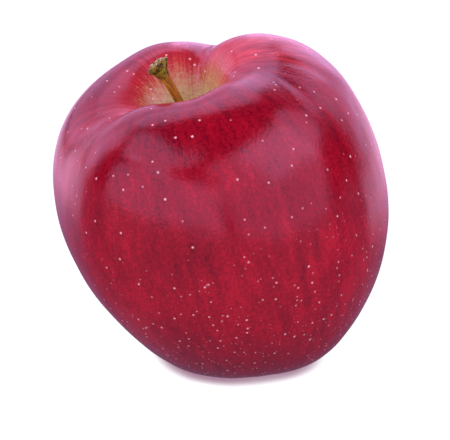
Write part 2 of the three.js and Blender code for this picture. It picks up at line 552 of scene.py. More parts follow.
@dataclass(frozen=True)
class SkinFinish(Finish):
    """Waxy red skin with streaks, lenticels, and russet at both ends of the core.

    Distances from the stem's foot and from the calyx are metres along the skin.
    """

    name: str = "red_skin"
    maroon: Colour = (0.160, 0.0015, 0.0100, 1.0)
    crimson: Colour = (0.300, 0.0040, 0.0140, 1.0)
    scarlet: Colour = (0.460, 0.0080, 0.0200, 1.0)
    # pale red of the cavity wall, also laid high on the lobes as painted light
    blush: Colour = (0.740, 0.0900, 0.0750, 1.0)
    ground: Colour = (0.600, 0.7200, 0.2100, 1.0)
    russet: Colour = (0.480, 0.5200, 0.1200, 1.0)
    scurf: Colour = (0.240, 0.2400, 0.0400, 1.0)
    lenticel: Colour = (0.950, 0.7800, 0.5500, 1.0)
    basin_green: Colour = (0.230, 0.1900, 0.0500, 1.0)
    bloom: Colour = (0.72, 0.60, 1.0, 1.0)

    fine: Streaks = Streaks(1700.0, 170.0, 3.0, 0.30)
    broad: Streaks = Streaks(330.0, 110.0, 3.0, 0.25)
    rays: Streaks = Streaks(700.0, 45.0, 3.0, 0.30)
    cloud: Mottle = Mottle(55.0, 2.0)
    pores: Mottle = Mottle(1500.0, 2.0)

    fine_red: float = 0.20
    broad_red: float = 0.36
    cloud_red: float = 0.24
    pore_red: Ramp = Ramp(0.25, 0.75, 0.0, 0.22, Ease.STRAIGHT)
    flank_red: Ramp = Ramp(0.080, 0.055, 0.0, 0.09)
    # painted shade: less red towards the calyx, darkening the underside
    painted_foot_shade: Ramp = Ramp(0.050, 0.022, 0.0, 0.28)
    # painted shade: less red round the stem, darkening the crest and the upper shoulder
    painted_crown_shade: Ramp = Ramp(0.050, 0.030, 0.0, 0.11)
    crimson_from: Ramp = Ramp(0.18, 0.52)
    scarlet_from: Ramp = Ramp(0.50, 0.78)

    # pale pink flushes high on the lobes: the skin's paler colour and painted light on the lobe
    # tops
    blushes_and_lit_tops: tuple[Blush, ...] = (
        Blush((0.91, 0.42, 0.0), 0.042, 0.90),
        Blush((-0.93, -0.37, 0.0), 0.052, 0.35),
    )
    blush_edge: Pair = (0.034, 0.0390)
    blush_fall: float = 0.016
    blush_fine: Ramp = Ramp(0.25, 0.75, 0.3, 1.0)
    blush_broad: Ramp = Ramp(0.25, 0.65, 0.5, 1.0)

    sparse_dots: Specks = Specks(330.0, 0.125)
    dense_dots: Specks = Specks(480.0, 0.150)
    tiny_dots: Specks = Specks(800.0, 0.145)
    dense_from: Ramp = Ramp(0.076, 0.048)
    tiny_from: Ramp = Ramp(0.062, 0.028)

    raggedness: float = 0.004
    warmth: Ramp = Ramp(0.031, 0.018)
    warmth_rays: Ramp = Ramp(0.2, 0.9, 0.65, 0.35)
    paleness: Ramp = Ramp(0.0220, 0.0115, 0.0, 0.92)
    rusting: Ramp = Ramp(0.0150, 0.0085)
    rust_share: float = 0.6
    scurfing: Ramp = Ramp(0.0185, 0.0110)
    scurf_pores: Ramp = Ramp(0.56, 0.74, 0.0, 0.7)
    basin_raggedness: float = 0.006
    greening: Ramp = Ramp(0.020, 0.008)
    green_share: float = 0.85

    polish: Ramp = Ramp(0.0, 1.0, 0.15, 0.21, Ease.STRAIGHT)
    rust_roughness: float = 0.32
    dot_roughness: float = 0.15
    fine_height: float = 0.30
    pore_height: float = 0.50
    dot_height: float = 0.60
    relief_depth: float = 0.00004

    def make(self) -> bpy.types.Material:
        """Makes the material.

        Returns:
            The material, which reads the skin's attributes.
        """
        material, bench, shader = self.start(
            IOR=1.45, Sheen_Weight=0.03, Sheen_Roughness=0.35, Sheen_Tint=self.bloom,
        )
        place, grain = bench.place(), bench.grain()
        fine, broad = bench.streaks(grain, self.fine), bench.streaks(grain, self.broad)
        pores = bench.mottle(place, self.pores)
        dots = self.lenticels(bench, place)

        colour = self.flush(bench, fine, broad, bench.mottle(place, self.cloud), pores)
        colour = self.blushed(bench, colour, grain, fine, broad)
        rust, colour = self.core_ends(bench, colour, grain, broad, pores)
        colour = bench.blend(dots, colour, self.lenticel)
        bench.plug(shader.inputs["Base Color"], colour)

        roughened = bench.weighed((rust, self.rust_roughness), (dots, self.dot_roughness))
        rough = bench.plus(bench.ramp(pores, self.polish), roughened)
        bench.plug(shader.inputs["Roughness"], rough)
        height = bench.weighed(
            (fine, self.fine_height), (pores, self.pore_height), (dots, self.dot_height),
        )
        self.relief(bench, shader, height, self.relief_depth)
        return material

    def flush(self, bench: Bench, fine: Any, broad: Any, cloud: Any,
              pores: Any) -> bpy.types.NodeSocket:
        """Lays the red in streaks, with painted shade towards the calyx and round the stem.

        Args:
            bench: The material's bench.
            fine: Fine streaks.
            broad: Broad streaks.
            cloud: Cloudy variation.
            pores: Variation of single pores.

        Returns:
            The red of the skin.
        """
        from_calyx, from_stem = bench.zone(Zone.FROM_CALYX), bench.zone(Zone.FROM_STEM)
        red = bench.plus(
            bench.weighed((fine, self.fine_red), (broad, self.broad_red), (cloud, self.cloud_red)),
            bench.ramp(pores, self.pore_red),
            bench.ramp(from_calyx, self.flank_red),
        )
        # painted shade: the red is darkened towards the calyx, on the underside
        red = bench.math("SUBTRACT", red, bench.ramp(from_calyx, self.painted_foot_shade))
        # painted shade: the red is darkened over the crest and upper shoulder round the stem
        red = bench.math("SUBTRACT", red, bench.ramp(from_stem, self.painted_crown_shade))
        dark = bench.blend(bench.ramp(red, self.crimson_from), self.maroon, self.crimson)
        return bench.blend(bench.ramp(red, self.scarlet_from), dark, self.scarlet)

    def blushed(self, bench: Bench, colour: Any, grain: Any, fine: Any,
                broad: Any) -> bpy.types.NodeSocket:
        """Lays the pink flushes, broken by the streaks: paler skin and painted light on lobe tops.

        Args:
            bench: The material's bench.
            colour: The skin's colour so far.
            grain: The grain direction.
            fine: Fine streaks.
            broad: Broad streaks.

        Returns:
            The colour with the flushes in it.
        """
        from_stem = bench.zone(Zone.FROM_STEM)
        streaked = bench.times(
            bench.ramp(fine, self.blush_fine), bench.ramp(broad, self.blush_broad),
        )
        # painted light: each flush lightens the top of a lobe, where light falls from behind
        for blush in self.blushes_and_lit_tops:
            facing = bench.node("VectorMath", {0: grain, 1: blush.side}, operation="DOT_PRODUCT")
            side = bench.ramp(facing.outputs["Value"], Ramp(*self.blush_edge, 0.0, blush.share))
            high = bench.ramp(from_stem, Ramp(blush.reach, blush.reach - self.blush_fall))
            share = bench.times(bench.times(side, streaked), high)
            colour = bench.blend(share, colour, self.blush)
        return colour

    def lenticels(self, bench: Bench, place: Any) -> bpy.types.NodeSocket:
        """Scatters the lenticels, sparse on top and crowded towards the calyx.

        Args:
            bench: The material's bench.
            place: Object coordinates.

        Returns:
            Where the dots are, 0 to 1.
        """
        from_calyx = bench.zone(Zone.FROM_CALYX)
        dots = bench.specks(place, self.sparse_dots)
        for specks, reach in ((self.dense_dots, self.dense_from), (self.tiny_dots, self.tiny_from)):
            more = bench.times(bench.specks(place, specks), bench.ramp(from_calyx, reach))
            dots = bench.math("MAXIMUM", dots, more)
        return dots

    def core_ends(self, bench: Bench, colour: Any, grain: Any, broad: Any, pores: Any,
                  ) -> tuple[bpy.types.NodeSocket, bpy.types.NodeSocket]:
        """Lightens and rusts the stem cavity, and greens the calyx basin.

        Args:
            bench: The material's bench.
            colour: The skin's colour so far.
            grain: The grain direction.
            broad: Broad streaks.
            pores: Variation of single pores.

        Returns:
            How much russet there is, and the colour with the ends in it.
        """
        rays = bench.streaks(grain, self.rays)
        ragged = bench.weighed((rays, self.raggedness), (pores, self.raggedness))
        reach = bench.plus(bench.zone(Zone.FROM_STEM), ragged)
        warm = bench.times(bench.ramp(reach, self.warmth), bench.ramp(rays, self.warmth_rays))
        colour = bench.blend(warm, colour, self.blush)
        colour = bench.blend(bench.ramp(reach, self.paleness), colour, self.ground)
        rust = bench.ramp(reach, self.rusting)
        colour = bench.blend(bench.times(rust, self.rust_share), colour, self.russet)
        scurf = bench.times(bench.ramp(reach, self.scurfing), bench.ramp(pores, self.scurf_pores))
        colour = bench.blend(scurf, colour, self.scurf)
        low_reach = bench.plus(
            bench.zone(Zone.FROM_CALYX), bench.times(broad, self.basin_raggedness),
        )
        green = bench.ramp(low_reach, self.greening)
        colour = bench.blend(bench.times(green, self.green_share), colour, self.basin_green)
        return bench.math("MAXIMUM", rust, green), colour


@dataclass(frozen=True)
class StemFinish(Finish):
    """Dry woody bark, olive and cracked at the knob."""

    name: str = "stem_bark"
    dark: Colour = (0.090, 0.040, 0.006, 1.0)
    bark: Colour = (0.430, 0.220, 0.008, 1.0)
    gold: Colour = (0.680, 0.520, 0.030, 1.0)
    olive: Colour = (0.240, 0.300, 0.012, 1.0)
    char: Colour = (0.018, 0.020, 0.004, 1.0)
    fleck: Colour = (0.800, 0.900, 0.480, 1.0)

    fibres: Streaks = Streaks(2600.0, 260.0, 3.0, 0.2)
    bands: Streaks = Streaks(900.0, 120.0, 2.0, 0.2)
    blotch: Mottle = Mottle(1100.0, 3.0)
    grit: Mottle = Mottle(4200.0, 2.0)

    bark_from: Ramp = Ramp(0.15, 0.60)
    gold_from: Ramp = Ramp(0.45, 0.90, 0.0, 0.75)
    knob_from: Ramp = Ramp(0.70, 0.86, 0.0, 0.95)
    olive_from: Ramp = Ramp(0.40, 0.60)
    glint_from: Ramp = Ramp(0.66, 0.90, 0.0, 0.6)
    fleck_from: Ramp = Ramp(0.50, 0.65)
    polish: Ramp = Ramp(0.0, 1.0, 0.75, 0.5, Ease.STRAIGHT)
    fibre_height: float = 0.6
    grit_height: float = 0.4
    relief_depth: float = 0.00018

    def make(self) -> bpy.types.Material:
        """Makes the material.

        Returns:
            The material, which reads the stem's attributes.
        """
        material, bench, shader = self.start(IOR=1.35)
        place, grain = bench.place(), bench.grain()
        fibres, bands = bench.streaks(grain, self.fibres), bench.streaks(grain, self.bands)
        blotch, grit = bench.mottle(place, self.blotch), bench.mottle(place, self.grit)

        wood = bench.blend(bench.ramp(fibres, self.bark_from), self.dark, self.bark)
        wood = bench.blend(bench.ramp(bands, self.gold_from), wood, self.gold)
        knob = bench.blend(bench.ramp(blotch, self.olive_from), self.char, self.olive)
        knob = bench.blend(bench.ramp(grit, self.glint_from), knob, self.gold)
        head = bench.ramp(bench.zone(Zone.ALONG), self.knob_from)
        colour = bench.blend(head, wood, knob)
        rim = bench.times(bench.zone(Zone.EDGE), bench.ramp(grit, self.fleck_from))
        bench.plug(shader.inputs["Base Color"], bench.blend(rim, colour, self.fleck))
        bench.plug(shader.inputs["Roughness"], bench.ramp(fibres, self.polish))
        height = bench.weighed((fibres, self.fibre_height), (grit, self.grit_height))
        self.relief(bench, shader, height, self.relief_depth)
        return material


@dataclass(frozen=True)
class DryLeafFinish(Finish):
    """Withered brown leaf and thread, with a dusty down."""

    name: str = "dry_sepal"
    shade: Colour = (0.060, 0.036, 0.018, 1.0)
    body: Colour = (0.190, 0.120, 0.060, 1.0)
    dusty: Colour = (0.340, 0.270, 0.190, 1.0)
    down_tint: Colour = (0.90, 0.85, 0.75, 1.0)
    down: float = 0.35

    veins: Streaks = Streaks(1500.0, 160.0, 3.0, 0.2)
    crumbs: Mottle = Mottle(2600.0, 3.0)
    body_from: Ramp = Ramp(0.2, 0.7)
    dust_from: Ramp = Ramp(0.55, 0.9, 0.0, 0.8)
    polish: Ramp = Ramp(0.0, 1.0, 0.8, 0.95, Ease.STRAIGHT)
    relief_share: float = 0.5
    relief_depth: float = 0.00015

    def make(self) -> bpy.types.Material:
        """Makes the material.

        Returns:
            The material, which reads the piece's grain.
        """
        material, bench, shader = self.start(
            IOR=1.4, Sheen_Weight=self.down, Sheen_Roughness=0.6, Sheen_Tint=self.down_tint,
        )
        veins = bench.streaks(bench.grain(), self.veins)
        crumbs = bench.mottle(bench.place(), self.crumbs)
        colour = bench.blend(bench.ramp(veins, self.body_from), self.shade, self.body)
        colour = bench.blend(bench.ramp(crumbs, self.dust_from), colour, self.dusty)
        bench.plug(shader.inputs["Base Color"], colour)
        bench.plug(shader.inputs["Roughness"], bench.ramp(crumbs, self.polish))
        height = bench.weighed((veins, self.relief_share), (crumbs, self.relief_share))
        self.relief(bench, shader, height, self.relief_depth)
        return material


@dataclass(frozen=True)
class FloorFinish(Finish):
    """Glowing white matt board: overlit to the eye, dim to the apple, with a painted lilac pool
    behind.

    Distances are metres from the middle of the board.
    """

    name: str = "white_board"
    board: Colour = (0.050, 0.055, 0.050, 1.0)
    white: Colour = (1.0, 1.0, 1.0, 1.0)
    # lilac grey of the painted shadow under the apple
    painted_contact_shadow: Colour = (0.36, 0.20, 0.28, 1.0)
    dim: Colour = (0.16, 0.09, 0.15, 1.0)
    front: Colour = (0.42, 0.27, 0.40, 1.0)
    # painted light: the lilac glow of the pool behind the apple
    pool: Colour = (1.25, 0.74, 1.20, 1.0)

    cloud: Mottle = Mottle(6.0, 2.0)
    contact_reach: float = 0.0026
    contact_samples: int = 8
    contact_edge: Ramp = Ramp(0.10, 0.78)
    pool_start: float = 0.03
    pool_spread: Ramp = Ramp(0.44, 0.66)
    pool_rise: Ramp = Ramp(0.07, 0.20)
    pool_fall: Ramp = Ramp(0.35, 0.90, 1.0, 0.3)
    front_rise: Ramp = Ramp(0.0, -0.08)
    least_aside: float = 0.001

    def make(self) -> bpy.types.Material:
        """Makes the material.

        Returns:
            The material.
        """
        material, bench, shader = self.start(Roughness=0.9, IOR=1.2, Emission_Strength=1.0)
        place = bench.place()
        cloud = bench.mottle(place, self.cloud)
        bench.plug(shader.inputs["Base Color"], bench.blend(cloud, self.board, self.dim))
        seen = bench.node("LightPath").outputs["Is Camera Ray"]
        glow = bench.blend(seen, self.hidden_light(bench, place), self.seen_light(bench))
        bench.plug(shader.inputs["Emission Color"], glow)
        return material

    def seen_light(self, bench: Bench) -> bpy.types.NodeSocket:
        """Gives the eye a white glow, with a painted shadow close to where the fruit stands."""
        # painted shadow: the glow darkens to lilac grey where the apple is close to the board
        nearby = bench.node(
            "AmbientOcclusion", {"Distance": self.contact_reach}, samples=self.contact_samples,
        )
        open_sky = bench.ramp(nearby.outputs["AO"], self.contact_edge)
        return bench.blend(open_sky, self.painted_contact_shadow, self.white)

    def hidden_light(self, bench: Bench, place: Any) -> bpy.types.NodeSocket:
        """Gives the painted glow that the apple's gloss and shade get from the board.

        Args:
            bench: The material's bench.
            place: Object coordinates.

        Returns:
            The colour, brightest in a wedge behind the apple.
        """
        axes = bench.node("SeparateXYZ", {0: place}).outputs
        aside = bench.math("MAXIMUM", bench.math("ABSOLUTE", axes["X"]), self.least_aside)
        behind = bench.math("DIVIDE", bench.plus(axes["Y"], self.pool_start), aside)
        far = bench.node("VectorMath", {0: place}, operation="LENGTH").outputs["Value"]
        reach = bench.times(bench.ramp(far, self.pool_rise), bench.ramp(far, self.pool_fall))
        pool_share = bench.times(bench.ramp(behind, self.pool_spread), reach)
        in_front = bench.ramp(axes["Y"], self.front_rise)
        # painted light: the board glows dim, brighter in front, with a lilac pool of glow behind
        # the apple
        return bench.blend(pool_share, bench.blend(in_front, self.dim, self.front), self.pool)


# ---- The fruit ------------------------------------------------------------------------


@dataclass(frozen=True)
class Rib:
    """One of the fruit's five ribs.

    Azimuth is in degrees. The rib raises the shoulder by shoulder millimetres, swells the
    radius by the share girth, and hangs foot millimetres below the basin's rim.
    """

    azimuth: float
    shoulder: float
    girth: float
    foot: float


@dataclass
class Fruit:
    """The fruit: a half section turned round the core, ribbed, leaned and tipped over."""

    half_section: tuple[Pair, ...] = (
        (0.0, 9.6), (4.7, 8.0), (8.9, 2.5), (14.7, -2.9), (23.1, -0.4),
        (32.0, 10.3), (39.7, 24.7), (40.5, 41.8), (35.9, 58.2), (24.8, 66.7),
        (14.0, 67.4), (8.4, 62.4), (5.0, 56.8), (2.5, 54.4), (0.0, 54.0),
    )
    ribs: tuple[Rib, ...] = (
        Rib(30.0, 5.9, 0.13, 3.9),
        Rib(100.0, 4.4, -0.03, 1.2),
        Rib(196.0, -4.3, -0.10, 0.1),
        Rib(248.0, 1.7, 0.0, 0.5),
        Rib(318.0, 2.2, 0.0, 2.4),
    )
    rib_sharpness: float = 5.4
    shoulder_rise: Pair = (21.0, 64.0)
    shoulder_reach: Pair = (1.0, 16.3)
    foot_rise: Pair = (30.0, 1.4)
    foot_reach: Pair = (1.0, 13.4)
    furrow: Rib = Rib(66.0, 1.5, 0.0, 0.0)
    furrow_sharpness: float = 40.0
    furrow_rise: Pair = (48.0, 66.0)
    furrow_reach: Pair = (3.0, 13.0)
    flutes: Ripple = Ripple(0.16, 9.0, 3.1)
    flute_pull: float = 0.12
    dents: Ripple = Ripple(0.22, 17.0, 1.7)
    dimples: Ripple = Ripple(0.06, 6.0, 5.3)
    uneven_from: Pair = (2.0, 16.0)
    lean: float = -0.11
    tilt: float = 7.7
    tilt_towards: float = 174.5
    foot_zone: float = 3.0
    foot_softness: float = 0.25
    steps_per_span: int = 11
    segments: int = 288
    nominal_radius: float = 40.0

    def section(self) -> list[Pair]:
        """Draws the half section as a smooth curve.

        Returns:
            Radius and height from the basin's floor to the stem cavity's floor.
        """
        hull = [Vector(point) for point in self.half_section]
        hull.insert(0, Vector((-hull[1].x, hull[1].y)))
        hull.append(Vector((-hull[-2].x, hull[-2].y)))
        spans = len(self.half_section) - 1
        points = []
        for step in range(spans * self.steps_per_span + 1):
            span = min(step // self.steps_per_span, spans - 1)
            t = step / self.steps_per_span - span
            weights = (
                (1 - t) ** 3,
                3 * t ** 3 - 6 * t ** 2 + 4,
                -3 * t ** 3 + 3 * t ** 2 + 3 * t + 1,
                t ** 3,
            )
            place = sum((hull[span + k] * weights[k] for k in range(4)), Vector((0, 0))) / 6
            points.append((max(place.x, 0.0), place.y))
        points[0] = (0.0, points[0][1])
        points[-1] = (0.0, points[-1][1])
        return points

    def tipping(self) -> Quaternion:
        """Gives the turn that tips the upright fruit over."""
        towards = math.radians(self.tilt_towards)
        return Quaternion((-math.sin(towards), math.cos(towards), 0.0), math.radians(self.tilt))

    def tipped(self, point: Vector) -> Vector:
        """Leans a point of the upright fruit sideways and tips it over."""
        return self.tipping() @ Vector((point.x + self.lean * point.z, point.y, point.z))

    def skin_point(self, radius: float, height: float, azimuth: float, in_cavity: bool,
                   in_basin: bool) -> Vector:
        """Places one point of the upright fruit's skin.

        Args:
            radius: Its radius on the half section.
            height: Its height on the half section.
            azimuth: Its direction from the core in radians.
            in_cavity: True from the crest of the shoulder inwards.
            in_basin: True from the rim of the basin inwards.

        Returns:
            The point in millimetres.
        """
        shares = [bell(azimuth, rib.azimuth, self.rib_sharpness) for rib in self.ribs]
        shoulder = sum(share * rib.shoulder for share, rib in zip(shares, self.ribs))
        girth = sum(share * rib.girth for share, rib in zip(shares, self.ribs))
        foot = sum(share * rib.foot for share, rib in zip(shares, self.ribs))
        if in_cavity:
            raised, furrowed = fade(radius, *self.shoulder_reach), fade(radius, *self.furrow_reach)
        else:
            raised, furrowed = fade(height, *self.shoulder_rise), fade(height, *self.furrow_rise)
        lowered = fade(radius, *self.foot_reach) if in_basin else fade(height, *self.foot_rise)
        cut = bell(azimuth, self.furrow.azimuth, self.furrow_sharpness)
        furrow = self.furrow.shoulder * furrowed * cut
        swollen = radius * (1.0 + girth)
        rise = raised * shoulder - lowered * foot - furrow
        return Vector((swollen * math.cos(azimuth), swollen * math.sin(azimuth), height + rise))

    def unevenness(self, point: Vector) -> float:
        """Gives the small swellings and flutes that a grown skin has.

        Args:
            point: A point of the skin.

        Returns:
            How far the skin stands out there, in millimetres.
        """
        round_core = outward(math.atan2(point.y, point.x)) * self.nominal_radius
        flutes = self.flutes.at(round_core + Vector((0, 0, point.z * self.flute_pull)))
        dents = self.dents.at(point) + self.dimples.at(point)
        return (flutes + dents) * fade(math.hypot(point.x, point.y), *self.uneven_from)

    def build(self) -> bpy.types.Object:
        """Builds the skin and stands it on its feet, in the node's box.

        Returns:
            The finished piece.
        """
        outline = self.section()
        heights = [height for _, height in outline]
        crest, rim = heights.index(max(heights)), heights.index(min(heights))
        bm = turned(outline, self.segments, (Zone.FROM_STEM.value, Zone.FROM_CALYX.value))
        self.mark(bm, outline)
        station = bm.verts.layers.int["station"]
        for vertex in bm.verts:
            index = vertex[station]
            azimuth = math.atan2(vertex.co.y, vertex.co.x)
            point = self.skin_point(*outline[index], azimuth, index >= crest, index <= rim)
            vertex.co = self.tipped(point)
        bm.normal_update()
        for vertex in bm.verts:
            vertex.co += vertex.normal * self.unevenness(vertex.co)
        self.stand(bm)
        bm.normal_update()
        return finished(bm, "apple_fruit")

    def mark(self, bm: bmesh.types.BMesh, outline: Sequence[Pair]) -> None:
        """Writes the attributes that the finish reads.

        Args:
            bm: The turned skin, before it is pushed into shape.
            outline: The half section that it was turned from.
        """
        lengths = [0.0]
        for (r0, z0), (r1, z1) in zip(outline, outline[1:]):
            lengths.append(lengths[-1] + math.hypot(r1 - r0, z1 - z0))
        grain = bm.verts.layers.float_vector.new(Zone.GRAIN.value)
        from_stem = bm.verts.layers.float[Zone.FROM_STEM.value]
        from_calyx = bm.verts.layers.float[Zone.FROM_CALYX.value]
        station = bm.verts.layers.int["station"]
        across = self.nominal_radius * MM
        for vertex in bm.verts:
            length = lengths[vertex[station]]
            azimuth = math.atan2(vertex.co.y, vertex.co.x)
            side, ahead = math.cos(azimuth) * across, math.sin(azimuth) * across
            vertex[grain] = Vector((side, ahead, length * MM))
            vertex[from_stem] = (lengths[-1] - length) * MM
            vertex[from_calyx] = length * MM

    def stand(self, bm: bmesh.types.BMesh) -> None:
        """Sets the fruit in its node's box, with its feet pressed flat on the floor.

        Args:
            bm: The skin, in millimetres.
        """
        set_in_box(bm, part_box("fruit"))
        for vertex in bm.verts:
            height = vertex.co.z
            if height < self.foot_zone:
                vertex.co.z = 0.5 * (height + math.hypot(height, self.foot_softness))

    def make(self) -> None:
        """Builds, dresses and seats the fruit."""
        piece = self.build()
        piece.data.materials.append(SkinFinish().make())
        seat(piece, "fruit")


# ---- The stem -------------------------------------------------------------------------


@dataclass
class Stem:
    """The woody stem, from the cavity's floor to the knob where it left the twig.

    The outline gives radius and distance along it, and the route is that of its middle.
    """

    outline: tuple[Pair, ...] = (
        (0.0, 0.0), (1.3, 0.0), (1.0, 1.8), (0.92, 6.0), (1.0, 11.0), (1.15, 14.6),
        (1.6, 16.6), (2.5, 18.4), (2.75, 19.2), (2.4, 19.9),
    )
    dome: float = 0.35
    dome_shares: tuple[float, ...] = (0.9, 0.75, 0.6, 0.45, 0.3, 0.15, 0.0)
    route: tuple[Triple, ...] = (
        (0.2, 0.0, 0.0), (-0.7, 0.1, 4.3), (-3.1, 0.2, 9.1), (-5.7, 0.2, 13.7), (-8.1, 0.1, 17.5),
    )
    route_step: float = 0.01
    end_slant: Pair = (0.2, -0.55)
    end_from: Pair = (0.8, 1.0)
    end_lumps: Ripple = Ripple(0.5, 1.3, 4.0)
    edge_height: Pair = (18.6, 19.2)
    edge_radius: Pair = (2.2, 2.6)
    flutes: Ripple = Ripple(0.07, 0.55, 2.0)
    flute_pull: float = 0.10
    lumps: Ripple = Ripple(1.0, 1.0, 7.0)
    lump_radius: float = 1.1
    lump_pull: float = 0.6
    lump_depth: float = 0.05
    knob_lump_depth: float = 0.12
    knob_from: Pair = (0.78, 0.95)
    rings: int = 110
    segments: int = 56
    nominal_radius: float = 1.2

    def fine_outline(self) -> list[Pair]:
        """Rounds the outline into many short steps.

        Returns:
            Radius and distance along the stem, closed at both ends.
        """
        sides = self.outline[1:]
        points = [self.outline[0]]
        for step in range(self.rings + 1):
            share = step / self.rings * (len(sides) - 1)
            index = min(int(share), len(sides) - 2)
            before, after = sides[max(index - 1, 0)], sides[min(index + 2, len(sides) - 1)]
            place = hermite(before, sides[index], sides[index + 1], after, share - index)
            points.append((place.x, place.y))
        radius, end = points[-1]
        for share in self.dome_shares:
            points.append((radius * share, end + self.dome * (1 - share)))
        return points

    def place_along(self, share: float) -> tuple[Vector, Vector]:
        """Follows the route.

        Args:
            share: How far along, 0 to 1.

        Returns:
            The place and the direction there.
        """
        last = len(self.route) - 1
        index = min(int(share * last), last - 1)
        knots = [Vector(self.route[min(max(index + k, 0), last)]) for k in (-1, 0, 1, 2)]
        t = share * last - index
        ahead = hermite(*knots, t + self.route_step) - hermite(*knots, t - self.route_step)
        return hermite(*knots, t), ahead.normalized()

    def build(self) -> bpy.types.Object:
        """Builds the stem in its node's box.

        Returns:
            The finished piece.
        """
        outline = self.fine_outline()
        length = max(height for _, height in outline)
        bm = turned(outline, self.segments, (Zone.ALONG.value, Zone.EDGE.value))
        grain = bm.verts.layers.float_vector.new(Zone.GRAIN.value)
        along_mark = bm.verts.layers.float[Zone.ALONG.value]
        edge_mark = bm.verts.layers.float[Zone.EDGE.value]
        for vertex in bm.verts:
            flat = vertex.co.copy()
            ring = outward(math.atan2(flat.y, flat.x))
            along = flat.z / length
            ridge = self.ridges(flat.z, ring, along)
            flat.x, flat.y = flat.x * ridge, flat.y * ridge
            place, forward = self.place_along(along)
            across = Vector((0, 1, 0)).cross(forward).normalized()
            slant = self.end_slant[0] * flat.x + self.end_slant[1] * flat.y
            push = fade(along, *self.end_from) * (slant + self.end_lumps.at(flat))
            vertex[grain] = ring * self.nominal_radius * MM
            vertex[grain].z = flat.z * MM
            vertex[along_mark] = along
            outer = fade(math.hypot(flat.x, flat.y), *self.edge_radius)
            vertex[edge_mark] = fade(flat.z, *self.edge_height) * outer
            vertex.co = place + across * flat.x + forward.cross(across) * flat.y + forward * push
        bmesh.ops.recalc_face_normals(bm, faces=bm.faces)
        set_in_box(bm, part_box("stem"))
        return finished(bm, "apple_stem")

    def ridges(self, height: float, ring: Vector, along: float) -> float:
        """Gives the bark's ridges and lumps.

        Args:
            height: How far along the straight stem, in millimetres.
            ring: The direction from the stem's middle.
            along: How far along the stem it is, 0 to 1.

        Returns:
            A factor for the radius there.
        """
        round_stem = ring * self.nominal_radius + Vector((0, 0, height * self.flute_pull))
        round_lump = ring * self.lump_radius + Vector((0, 0, height * self.lump_pull))
        depth = self.lump_depth + self.knob_lump_depth * fade(along, *self.knob_from)
        return 1.0 + self.flutes.at(round_stem) + depth * self.lumps.at(round_lump)

    def make(self) -> None:
        """Builds, dresses and seats the stem."""
        piece = self.build()
        piece.data.materials.append(StemFinish().make())
        seat(piece, "stem")


def hermite(before: Sequence[float], start: Sequence[float], end: Sequence[float],
            after: Sequence[float], t: float) -> Vector:
    """Curves smoothly from one knot to the next.

    Args:
        before: The knot before the start.
        start: The knot at t = 0.
        end: The knot at t = 1.
        after: The knot after the end.
        t: Where on the curve.

    Returns:
        The place there.
    """
    a, b, c, d = (Vector(knot) for knot in (before, start, end, after))
    linear = (c - a) * t
    square = (2 * a - 5 * b + 4 * c - d) * t ** 2
    cube = (3 * b - a - 3 * c + d) * t ** 3
    return b + (linear + square + cube) / 2


# ---- The dried flower -----------------------------------------------------------------


@dataclass(frozen=True)
class Whorl:
    """A ring of stamens.

    Ring is its radius, drop how far under the basin's floor they start, and turn and
    splay are degrees.
    """

    count: int
    ring: float
    drop: float
    length: float
    turn: float
    splay: float


